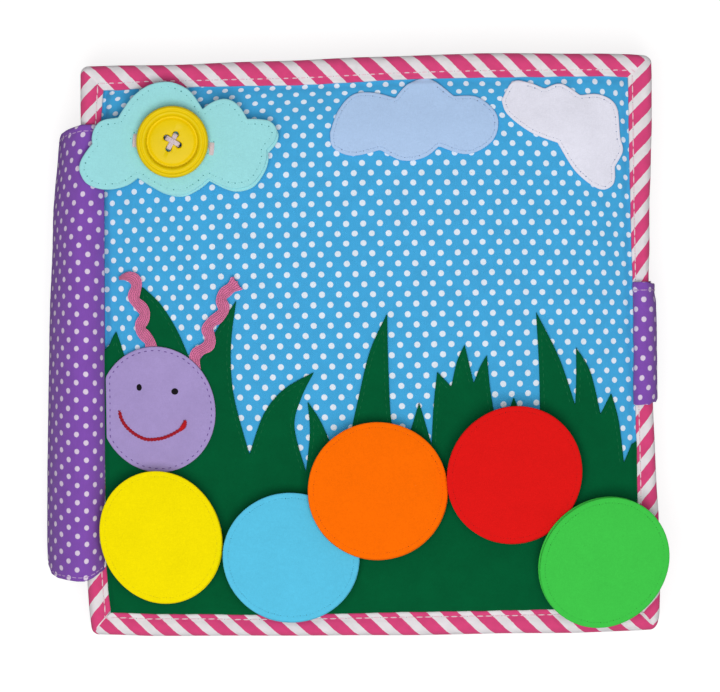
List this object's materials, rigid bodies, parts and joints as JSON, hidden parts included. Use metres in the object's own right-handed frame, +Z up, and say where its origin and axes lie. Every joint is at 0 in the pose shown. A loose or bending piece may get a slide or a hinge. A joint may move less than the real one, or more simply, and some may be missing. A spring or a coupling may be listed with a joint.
{
  "type": "quiet book",
  "caption": "Closed square cloth quiet book: padded leaves with striped binding, snap-fastened felt discs, a buttoned cloud, spine band and closing strap.",
  "frame": {"origin": "middle of the back cover's underside, which rests on the table", "axes": "+X from the spine to the fore edge, +Y to the top of the page, +Z up through the closed book to its front cover"},
  "size_m": [0.2186, 0.2004, 0.0406],
  "materials": {
    "face": "woven cotton with white dots",
    "binding": "woven cotton, pink and white diagonal stripes",
    "purple": "woven cotton with pale dots",
    "plain": "plain woven cotton",
    "batting": "soft wadding",
    "grass": "needle felt",
    "pale_blue": "needle felt",
    "cloud_white": "needle felt",
    "mint": "needle felt",
    "button": "glossy moulded plastic",
    "thread": "cotton thread",
    "lilac": "needle felt",
    "eye": "satin plastic",
    "mouth": "embroidery thread",
    "rickrack": "woven rick-rack braid",
    "snap": "satin moulded plastic",
    "patch": "hook and loop tape",
    "disc_yellow": "needle felt",
    "disc_light_blue": "needle felt",
    "disc_orange": "needle felt",
    "disc_red": "needle felt",
    "disc_green": "needle felt"
  },
  "bodies": {
    "back_cover": {"back_cover_inside_cloth": "plain", "back_cover_outside_cloth": "face", "back_cover_batting": "batting", "back_cover_binding": "binding", "spine_band_back": "purple", "loop_patch": "patch", "strap_back_tab": "purple"},
    "spine": {"spine_band_bulge": "purple", "spine_inner_band": "purple"},
    "third_leaf": {"third_leaf_front_cloth": "plain", "third_leaf_back_cloth": "plain", "third_leaf_batting": "batting", "third_leaf_binding": "binding"},
    "second_leaf": {"second_leaf_front_cloth": "plain", "second_leaf_back_cloth": "plain", "second_leaf_batting": "batting", "second_leaf_binding": "binding"},
    "front_cover": {"front_cover_face_cloth": "face", "front_cover_inside_cloth": "plain", "front_cover_batting": "batting", "front_cover_binding": "binding", "grass": "grass", "light_blue_cloud": "pale_blue", "white_cloud": "cloud_white", "head": "lilac", "eye_left": "eye", "eye_right": "eye", "mouth": "mouth", "feeler_left": "rickrack", "feeler_right": "rickrack", "button": "button", "button_thread": "thread", "spine_band_front": "purple", "strap_top": "purple", "yellow_snap_socket": "snap", "light_blue_snap_socket": "snap", "orange_snap_socket": "snap", "red_snap_socket": "snap", "green_snap_socket": "snap"},
    "mint_cloud": {"mint_cloud_back_felt": "mint", "mint_cloud_front_felt": "mint"},
    "strap": {"strap_flap": "purple", "hook_patch": "patch"},
    "yellow_disc": {"yellow_snap_stud": "snap", "yellow_back_felt": "disc_yellow", "yellow_front_felt": "disc_yellow"},
    "light_blue_disc": {"light_blue_snap_stud": "snap", "light_blue_back_felt": "disc_light_blue", "light_blue_front_felt": "disc_light_blue"},
    "orange_disc": {"orange_snap_stud": "snap", "orange_back_felt": "disc_orange", "orange_front_felt": "disc_orange"},
    "red_disc": {"red_snap_stud": "snap", "red_back_felt": "disc_red", "red_front_felt": "disc_red"},
    "green_disc": {"green_snap_stud": "snap", "green_back_felt": "disc_green", "green_front_felt": "disc_green"}
  },
  "joints": [
    {"name": "spine_hinge", "type": "hinge", "parent": "back_cover", "child": "spine", "pos_m": [-0.1, 0, 0.0035], "axis": [0, -1, 0], "range_deg": [0, 65], "deforming": ["spine_band_bulge"]},
    {"name": "third_leaf_hinge", "type": "hinge", "parent": "spine", "child": "third_leaf", "pos_m": [-0.1, 0, 0.0109], "axis": [0, -1, 0], "range_deg": [-5.5, 0]},
    {"name": "second_leaf_hinge", "type": "hinge", "parent": "spine", "child": "second_leaf", "pos_m": [-0.1, 0, 0.0183], "axis": [0, -1, 0], "range_deg": [0, 54.2]},
    {"name": "front_cover_hinge", "type": "hinge", "parent": "spine", "child": "front_cover", "pos_m": [-0.1, 0, 0.0257], "axis": [0, -1, 0], "range_deg": [0, 113.8]},
    {"name": "strap_hinge", "type": "hinge", "parent": "front_cover", "child": "strap", "pos_m": [0.1022, 0, 0.02855], "axis": [0, -1, 0], "range_deg": [0, 170]},
    {"name": "cloud_swivel", "type": "hinge", "parent": "front_cover", "child": "mint_cloud", "pos_m": [-0.0684, 0.0729, 0.0329], "axis": [0, 0, 1], "continuous": true},
    {"name": "yellow_lift", "type": "slide", "parent": "front_cover", "child": "yellow_disc", "axis": [0, 0, 1], "range_m": [0, 0.04]},
    {"name": "orange_lift", "type": "slide", "parent": "front_cover", "child": "orange_disc", "axis": [0, 0, 1], "range_m": [0, 0.04]},
    {"name": "light_blue_lift", "type": "slide", "parent": "front_cover", "child": "light_blue_disc", "axis": [0, 0, 1], "range_m": [0, 0.024]},
    {"name": "green_lift", "type": "slide", "parent": "front_cover", "child": "green_disc", "axis": [0, 0, 1], "range_m": [0, 0.04]},
    {"name": "red_lift", "type": "slide", "parent": "front_cover", "child": "red_disc", "axis": [0, 0, 1], "range_m": [0, 0.024]}
  ],
  "couplings": [
    {"joint": "third_leaf_hinge", "follows": "spine_hinge", "ratio": -0.0833},
    {"joint": "second_leaf_hinge", "follows": "spine_hinge", "ratio": 0.8333},
    {"joint": "front_cover_hinge", "follows": "spine_hinge", "ratio": 1.75},
    {"joint": "light_blue_lift", "follows": "orange_lift", "ratio": 0.6},
    {"joint": "red_lift", "follows": "green_lift", "ratio": 0.6}
  ]
}
